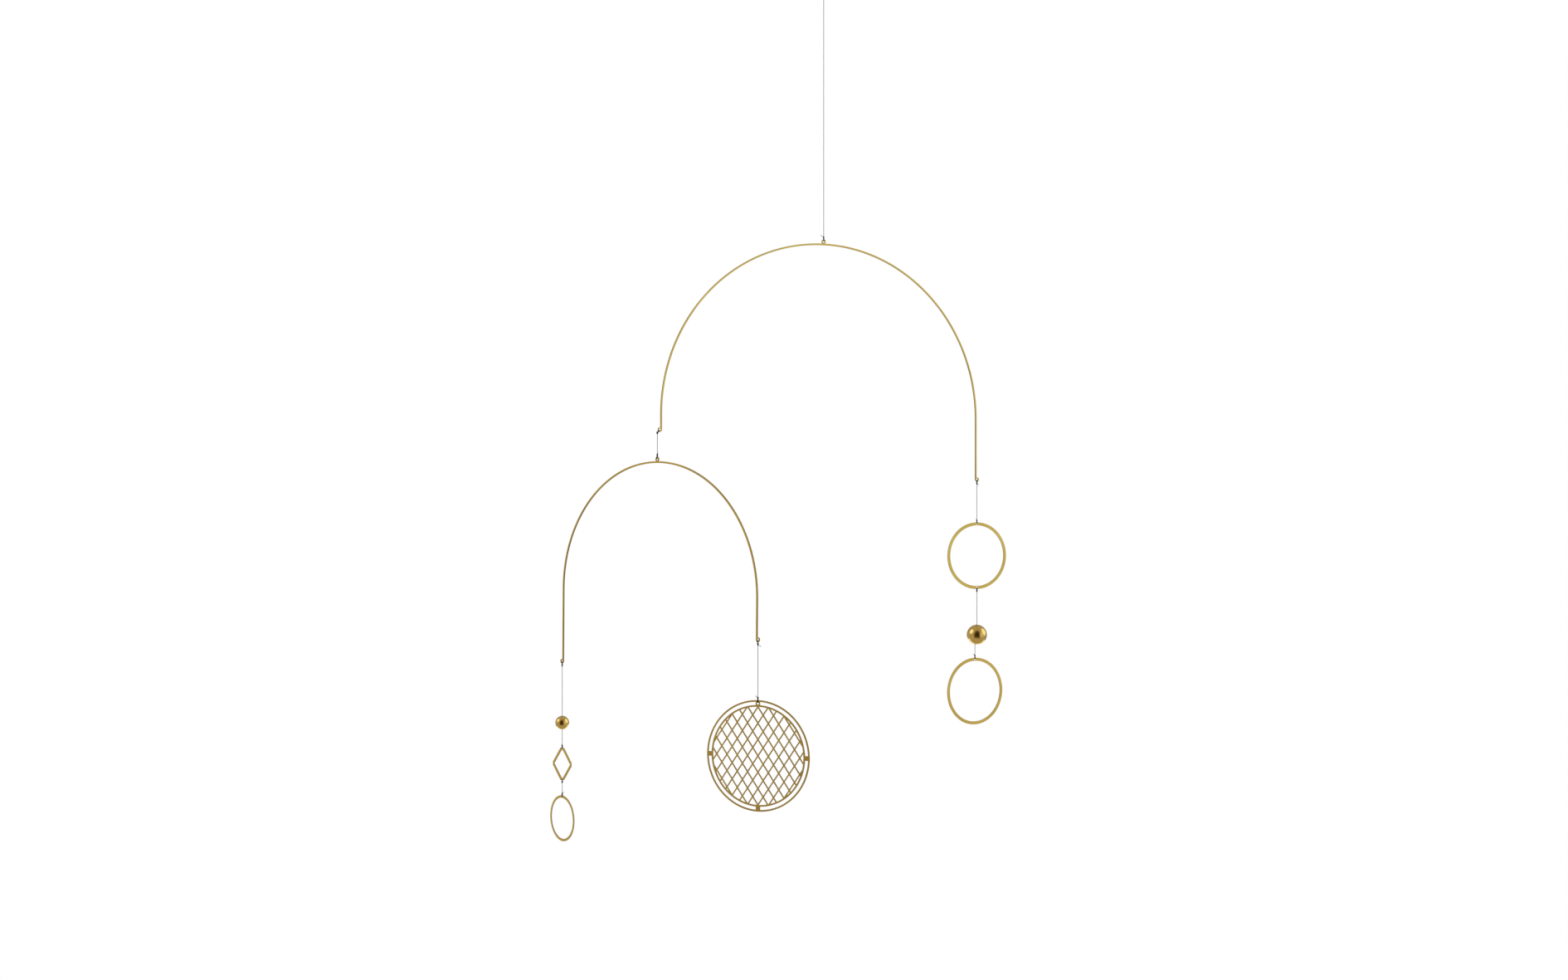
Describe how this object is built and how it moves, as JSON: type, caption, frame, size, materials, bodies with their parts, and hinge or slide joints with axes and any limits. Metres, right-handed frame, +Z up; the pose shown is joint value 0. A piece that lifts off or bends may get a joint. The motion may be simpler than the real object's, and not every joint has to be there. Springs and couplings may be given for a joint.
{
  "type": "hanging mobile sculpture",
  "caption": "Hanging brass mobile: a wide arch balances a smaller arch against a string of rings and a ball, with a lattice disc and a diamond, on black thread.",
  "frame": {"origin": "the point where the hanging loop bears on its hook", "axes": "+Z up along the ceiling thread, the wide arch in the XZ plane with its long leg towards +X"},
  "size_m": [0.3935, 0.2482, 0.7492],
  "materials": {
    "brass": "sheet brass, etched or cut, satin",
    "polished_brass": "turned and polished",
    "thread": "black twisted thread, matt"
  },
  "bodies": {
    "hanging_loop": {"hanging_loop": "thread"},
    "upper_arch": {"ceiling_thread": "thread", "upper_arch": "brass", "ring_thread": "thread", "upper_ring": "brass", "large_ball_thread": "thread", "large_ball": "polished_brass", "lower_ring": "brass", "link_loop": "thread"},
    "lower_arch": {"link_thread": "thread", "lower_arch": "brass", "small_ball_thread": "thread", "small_ball": "polished_brass", "diamond": "brass", "small_ring_thread": "thread", "small_ring": "brass", "lattice_thread": "thread", "lattice_disc": "brass"}
  },
  "joints": [
    {"name": "upper_swivel", "type": "hinge", "parent": "hanging_loop", "child": "upper_arch", "pos_m": [0, 0, -0.0094], "axis": [0, 0, 1], "continuous": true},
    {"name": "lower_swivel", "type": "hinge", "parent": "upper_arch", "child": "lower_arch", "pos_m": [-0.15343, 0, -0.3931], "axis": [0, 0, 1], "continuous": true}
  ]
}
